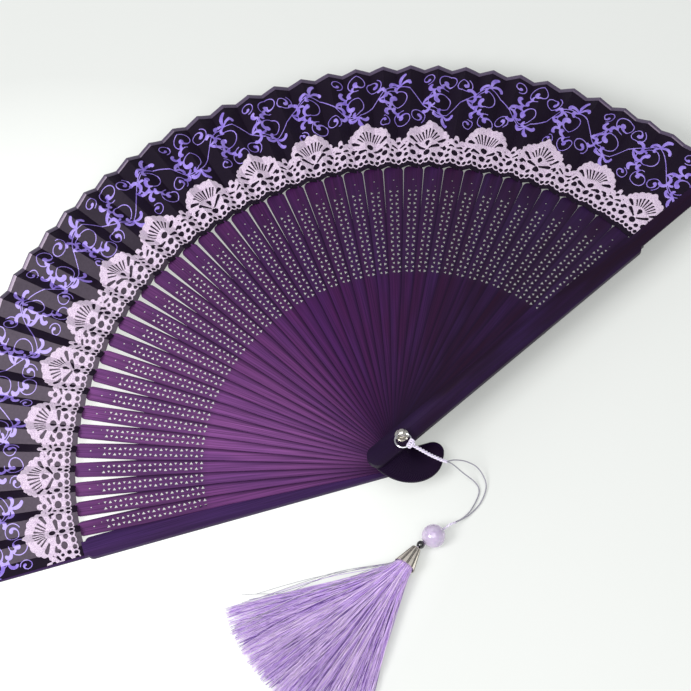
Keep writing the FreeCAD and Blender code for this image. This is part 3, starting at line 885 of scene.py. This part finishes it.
def scroll_strokes():
    """All the printed strokes in one row along the leaf, each a list of (x, y, half width)."""
    length = math.radians(FAN_SPAN) * PRINT_REFERENCE
    step = length / VINE_BAYS
    strokes = [vine_stem(length, step)]
    for i in range(VINE_BAYS):
        rise = 1 if i % 2 == 0 else -1
        middle = (i + 0.5) * step
        level = VINE_MIDDLE + 0.8 * rise + random.uniform(-0.6, 0.6)
        coil = curl(middle - 0.6, level, step * 0.29, -100 * rise, random.uniform(1.25, 1.4), -rise)
        strokes.append(coil)
        strokes += leaves_along(coil, (0.05, 0.24), -rise, 5.6)
        crest = VINE_MIDDLE + VINE_SWING * rise
        strokes += spray(middle + 1.2, crest, 100 * rise, -rise)
        far_level = VINE_MIDDLE - (VINE_SWING + 2.2) * rise
        small = curl(middle + step * 0.12, far_level, 4.3, 90 * rise, 1.2, rise)
        strokes.append(small)
        strokes += leaves_along(small, (0.08,), rise, 4.6)
        strokes.append(curl(i * step + 3.2, VINE_MIDDLE - 11.5 * rise, 2.7, 90 * rise, 1.1, -rise))
        strokes += spray(i * step + 1.0, VINE_MIDDLE + 1.5 * rise, -60 * rise, rise)[:2]
        strokes.append(curl(i * step - 0.8, VINE_MIDDLE + 8.6 * rise, 3.5, 60 * rise, 1.3, -rise))
    return strokes


def vine_stem(length, step):
    """The long wavy stem that carries all the curls."""
    count = int(length / 1.2)
    spots = [i * length / count for i in range(count + 1)]
    return [(x, VINE_MIDDLE + VINE_SWING * math.sin(math.pi * x / step), STEM) for x in spots]


def stroke_table():
    """Every straight bit of every stroke as a row (x, y, half width, x, y, half width)."""
    return np.array([(*a, *b) for stroke in scroll_strokes() for a, b in zip(stroke, stroke[1:])])


STROKES = stroke_table()


def print_field(angle, radius):
    """Depth inside the printed scrolls, in millimetres."""
    x = np.radians(FAN_MIDDLE + FAN_SPAN / 2 - angle) * PRINT_REFERENCE
    margin = 1.5
    low = np.minimum(STROKES[:, 0], STROKES[:, 3])
    high = np.maximum(STROKES[:, 0], STROKES[:, 3])
    near = STROKES[(high > x.min() - margin) & (low < x.max() + margin)]
    depth = np.full(x.shape, -margin)
    for bit in near:
        if np.hypot(bit[3] - bit[0], bit[4] - bit[1]) > 1e-6:
            depth = np.maximum(depth, drop(x, radius, bit[:3], bit[3:]))
    return np.minimum(depth, union(radius - PRINT_INNER - 0.2, np.zeros(x.shape) - margin))


# ---------------------------------------------------------------- leaf pieces

LACE_CELL, PRINT_CELL = 0.28, 0.25
LACE_BASE, LACE_HEIGHT, LACE_ROUNDING = 0.23, 0.32, 0.45
PRINT_BASE, PRINT_HEIGHT, PRINT_ROUNDING = 0.2, 0.05, 0.2
LACE_SHAPE = (LACE_INNER, LACE_OUTER, LACE_CELL, LACE_BASE, LACE_HEIGHT, LACE_ROUNDING)
PRINT_SHAPE = (PRINT_INNER, PRINT_OUTER, PRINT_CELL, PRINT_BASE, PRINT_HEIGHT, PRINT_ROUNDING)


def hang_on_sticks(piece, k):
    """The last stick carries its piece; every other piece is baked in place and carried by no stick."""
    if k == len(STICKS) - 1:
        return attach(piece, STICKS[k])
    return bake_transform(piece)


def leaf_piece(kind, k, parts, material, slot, *nodes):
    """A piece of the leaf on stick k that stands for CAD nodes."""
    piece = make_piece(f"{kind}_{k:02d}", [(*part, 0) for part in parts], [material])
    hang_on_sticks(piece, k)
    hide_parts(*nodes)


def make_leaf():
    """Silk, lace, print and tape, one piece of each for every stick."""
    silk = silk_cloth("leaf_silk", colour(17, 6, 24), colour(86, 76, 88), 0.03)
    lace, ink, tape = lace_thread(), printed_ink(), edge_tape()
    for k in range(len(STICKS)):
        panels = [2 * k] if k == len(STICKS) - 1 else [2 * k, 2 * k + 1]
        leaf_piece("leaf", k, [silk_panel(j) for j in panels], silk, "leaf_silk", "leaf")
        leaf_piece("binding", k, [tape_panel(j) for j in panels], tape, "binding_tape", "edge_binding")
        trims = [raised_figure(j, lace_field, *LACE_SHAPE) for j in panels]
        leaf_piece("lace", k, [part for part in trims if part], lace, "lace", "lace_trim")
        prints = [raised_figure(j, print_field, *PRINT_SHAPE) for j in panels]
        leaf_piece("print", k, [part for part in prints if part], ink, "leaf_silk", "leaf")


# ---------------------------------------------------------------- tassel

RING = centre_of("hanging_ring")
BEAD = centre_of("glass_bead")
SPACER = centre_of("spacer_bead")
KNOT = centre_of("cord_knot")
CAP_TOP = Vector(joint_named("tassel_swing")["pos_m"]) / MM
BEAD_WAY = (SPACER - BEAD).normalized()
CAP_WAY = (KNOT - CAP_TOP).normalized()

PLY_RADIUS = 0.42
PLY_OFFSET = 0.38
TWIST_LENGTH = 3.2
SLACK_RADIUS = 0.27
HITCH_RADIUS, BAR_RADIUS = 0.37, 0.42
TWISTED_CORD = [
    (1.0, -6.6, 26.6),
    (3.8, -8.9, 23.6),
    (6.8, -11.5, 20.2),
    (10.2, -13.8, 16.6),
    (12.8, -15.0, 14.0),
]
OUTER_STRAND = [
    (12.8, -15.0, 14.0),
    (16.6, -15.0, 11.6),
    (21.6, -16.4, 7.4),
    (25.2, -20.2, 3.6),
    (24.8, -27.0, 1.2),
    (19.3, -32.5, 0.8),
    (12.0, -35.4, 1.0),
    (4.6, -36.6, 3.2),
]
INNER_STRAND = [
    (12.8, -15.0, 14.0),
    (15.2, -16.1, 10.6),
    (18.2, -19.2, 5.2),
    (21.3, -24.3, 1.4),
    (20.4, -28.6, 0.7),
    (14.2, -33.4, 0.9),
    (9.0, -35.5, 1.4),
    (4.4, -36.3, 3.2),
]


def ply(path, phase, offset=PLY_OFFSET, radius=PLY_RADIUS):
    """One ply of a twisted pair along a path."""
    path = np.asarray(path)
    ways = np.gradient(path, axis=0)
    ways /= np.linalg.norm(ways, axis=1)[:, None]
    side = np.cross(ways, (0.0, 0.0, 1.0))
    side /= np.linalg.norm(side, axis=1)[:, None]
    other = np.cross(side, ways)
    run = np.concatenate([[0], np.cumsum(np.linalg.norm(np.diff(path, axis=0), axis=1))])
    turn = (2 * math.pi * run / TWIST_LENGTH + phase)[:, None]
    return tube(path + offset * (np.cos(turn) * side + np.sin(turn) * other), [radius] * len(path), 8)


def hitch_parts():
    """The lark's head round the ring: two turns side by side, and a bar across them."""
    start = Vector(TWISTED_CORD[0])
    away = start - RING
    away.z = 0
    away.normalize()
    ring_radius = (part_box("hanging_ring")[1].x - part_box("hanging_ring")[0].x) / 2 / MM - 0.35
    hold = RING + away * ring_radius
    along = Vector((-away.y, away.x, 0))
    up = Vector((0, 0, 1))
    parts = []
    for side in (-1.45, -0.55, 0.55, 1.45):
        centre = hold + along * side
        spots = []
        for i in range(25):
            turn = 2 * math.pi * i / 24
            lean = along * (0.12 * math.sin(turn))
            spots.append(centre + away * (0.86 * math.cos(turn)) + up * (0.86 * math.sin(turn)) + lean)
        parts.append(tube(spots, [HITCH_RADIUS] * len(spots), 8, caps=False))
    bar = []
    for share in np.linspace(-1, 1, 9):
        bar.append(hold + along * share * 1.5 + away * 1.0 + up * (0.6 - 0.3 * share**2))
    parts.append(tube(bar, [BAR_RADIUS] * len(bar), 8))
    for side in (-1, 1):
        leaves_ring = hold + along * side * 0.9 + away * 0.8
        draws_in = hold + along * side * 0.4 + away * 1.6
        lead = spline([leaves_ring, draws_in, start], 12)
        parts.append(tube(lead, [PLY_RADIUS] * len(lead), 8))
    return parts


def make_cord():
    """The doubled silk cord: hitched to the ring, twisted, slack in two strands, and twisted again."""
    entry = BEAD - BEAD_WAY * 9.0
    through = [(4.5, -36.45, 3.2), entry, BEAD - BEAD_WAY * 6, BEAD, SPACER, CAP_TOP, KNOT]
    upper, lower = spline(TWISTED_CORD, 90), spline(through, 110)
    parts = hitch_parts()
    for phase in (0.0, math.pi):
        parts.append(ply(upper, phase))
        parts.append(ply(lower, phase, offset=0.26, radius=0.3))
    slack = [spline(strand, 90) for strand in (OUTER_STRAND, INNER_STRAND)]
    strands = [(*tube(path, [SLACK_RADIUS] * len(path), 8), 1) for path in slack]
    silks = [
        twisted_silk("twisted_silk", colour(194, 180, 216), colour(248, 242, 252)),
        twisted_silk("slack_silk", colour(116, 112, 126), colour(158, 154, 168)),
    ]
    piece = make_piece("cord_strands", [(*part, 0) for part in parts] + strands, silks, smooth=True)
    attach(piece, "tassel_cord")
    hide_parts("tassel_cord")


THREADS = 1100
THREAD_RADIUS = 0.17
THREAD_STEPS = 15
SKIRT_LENGTH = 77.0
SKIRT_FAN = 30.0
THROAT_DEPTH = 8.0
THROAT_RADIUS = 3.6
THREAD_SCATTER = 4.0
STRAYS = 13
STRAY_RADIUS = 0.12


def skirt_heading():
    """The heading of the skirt's middle, from the far end of its CAD solid."""
    corners = points_of("tassel_skirt")
    reach = np.linalg.norm(corners - np.array(CAP_TOP), axis=1)
    end = corners[reach > reach.max() * 0.8].mean(axis=0)
    return math.degrees(math.atan2(end[1] - CAP_TOP.y, end[0] - CAP_TOP.x))


def thread_path(side, level, turn, length, sway):
    """A thread from its place in the cap's throat, fanned out by turn and laid down towards the floor."""
    across = Vector((-CAP_WAY.y, CAP_WAY.x, 0))
    throat = CAP_TOP + CAP_WAY * THROAT_DEPTH
    start = throat + across * side * THROAT_RADIUS + Vector((0, 0, level * THROAT_RADIUS))
    heading = math.radians(turn)
    way = Vector((math.cos(heading), math.sin(heading), 0))
    end = throat + way * length
    end.z = 0.35 + 2.2 * (level + 1) / 2 * random.uniform(0.4, 1.0)
    first = start + CAP_WAY * length * 0.1
    second = end - way * length * 0.45 + Vector((0, 0, 1.4 + 1.8 * (level + 1) / 2))
    normal = Vector((-way.y, way.x, 0))
    phase, waves = random.uniform(0, 6.28), random.uniform(1.2, 2.6)
    path = []
    for i in range(THREAD_STEPS):
        t = i / (THREAD_STEPS - 1)
        spot = start * (1 - t) ** 3 + first * 3 * t * (1 - t) ** 2 + second * 3 * t**2 * (1 - t) + end * t**3
        drift = sway * t * math.sin(waves * 2 * math.pi * t * 0.5 + phase)
        spot = spot + normal * drift
        spot.z = max(spot.z, THREAD_RADIUS)
        path.append(spot)
    return path


def make_skirt():
    """The tassel's skirt of loose silk threads, with some strays."""
    heading = skirt_heading()
    parts = []
    for i in range(THREADS):
        side = random.uniform(-1, 1)
        level = random.uniform(-1, 1) * math.sqrt(1 - side * side)
        fan = side * SKIRT_FAN + random.gauss(0, THREAD_SCATTER)
        fan = max(-SKIRT_FAN, min(SKIRT_FAN, fan))
        length = SKIRT_LENGTH * random.uniform(0.93, 1.0)
        path = thread_path(side, level, heading + fan, length, random.uniform(0.3, 2.6))
        radii = [THREAD_RADIUS * (1 - 0.45 * (n / THREAD_STEPS) ** 3) for n in range(THREAD_STEPS)]
        parts.append(tube(path, radii, 3))
    strays = []
    for i in range(STRAYS):
        turn = heading - random.uniform(0.7, 1.25) * SKIRT_FAN * random.choice((1, 1, 1, -0.8))
        side = math.copysign(0.8, turn - heading)
        length = SKIRT_LENGTH * random.uniform(0.8, 1.02)
        path = thread_path(side, 0.6, turn, length, random.uniform(2.0, 5.0))
        strays.append((*tube(path, [STRAY_RADIUS] * len(path), 3), i % 2))
    silks = [skirt_silk(), bpy.data.materials["slack_silk"]]
    piece = make_piece("skirt_threads", [(*part, 0) for part in parts] + strays, silks, smooth=True)
    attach(piece, "tassel")
    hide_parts("tassel_skirt")


def dress_fittings():
    """Materials of the rivet, ring, beads, cap and knot."""
    steel = bright_metal("rivet_steel", colour(226, 222, 214), 0.2)
    wire = bright_metal("ring_wire", colour(240, 240, 244), 0.12)
    dress_node("rivet_pin", steel)
    dress_node("front_washer", steel)
    dress_node("hanging_ring", wire, 60.0)
    dress_node("glass_bead", milky_glass())
    dress_node("spacer_bead", black_gloss())
    dress_node("tassel_cap", flute_shaded_metal(), 25.0)
    dress_node("cord_knot", bpy.data.materials["twisted_silk"])


# ---------------------------------------------------------------- studio


def make_floor():
    """A large pale floor under the fan."""
    half = 3000.0
    spots = [(-half, -half, 0), (half, -half, 0), (half, half, 0), (-half, half, 0)]
    floor = make_piece("floor", [(spots, [(0, 1, 2, 3)], 0)], [pale_floor()])
    floor.location.z = -0.02 * MM


def area_light(name, place, target, width, power):
    """A soft square light aimed at a target, both in millimetres."""
    light = bpy.data.lights.new(name, "AREA")
    light.size = width * MM
    light.energy = power
    lamp = bpy.data.objects.new(name, light)
    lamp.location = Vector(place) * MM
    lamp.rotation_mode = "QUATERNION"
    lamp.rotation_quaternion = (Vector(place) - Vector(target)).to_track_quat("Z", "Y")
    bpy.context.scene.collection.objects.link(lamp)


def make_lights():
    """A soft key light from the left, a wide fill above and a pale surround."""
    area_light("key", (-850, -115, 920), (0, 60, 0), 500, 11.0)
    area_light("fill", (-180, -450, 1150), (0, 60, 0), 1000, 8.0)
    world = bpy.data.worlds.new("surround")
    world.use_nodes = True
    background = world.node_tree.nodes["Background"]
    background.inputs["Color"].default_value = (0.95, 0.96, 1.0, 1.0)
    background.inputs["Strength"].default_value = 0.42
    bpy.context.scene.world = world


CAMERA_PLACE = (-220.118, -416.503, 927.431)
CAMERA_AZIMUTH, CAMERA_DIP, CAMERA_ROLL = 25.377, 60.268, -4.377
CAMERA_FIELD = 16.0


def make_camera():
    """The camera at the viewing angle: azimuth clockwise from +Y, dip below the horizon, then roll."""
    azimuth, dip, roll = (math.radians(a) for a in (CAMERA_AZIMUTH, CAMERA_DIP, CAMERA_ROLL))
    forward = Vector((math.sin(azimuth) * math.cos(dip), math.cos(azimuth) * math.cos(dip), -math.sin(dip)))
    level = Vector((math.cos(azimuth), -math.sin(azimuth), 0))
    above = level.cross(forward)
    right = level * math.cos(roll) + above * math.sin(roll)
    up = above * math.cos(roll) - level * math.sin(roll)
    data = bpy.data.cameras.new("camera")
    data.sensor_width = 36.0
    data.lens = data.sensor_width / 2 / math.tan(math.radians(CAMERA_FIELD / 2))
    camera = bpy.data.objects.new("camera", data)
    turned = Matrix((right, up, -forward)).transposed().to_4x4()
    camera.matrix_world = Matrix.Translation(Vector(CAMERA_PLACE) * MM) @ turned
    bpy.context.scene.collection.objects.link(camera)
    bpy.context.scene.camera = camera


# ---------------------------------------------------------------- whole scene

dress_sticks()
make_leaf()
make_cord()
make_skirt()
dress_fittings()
make_floor()
make_lights()
make_camera()
bpy.context.scene.view_settings.view_transform = "Standard"
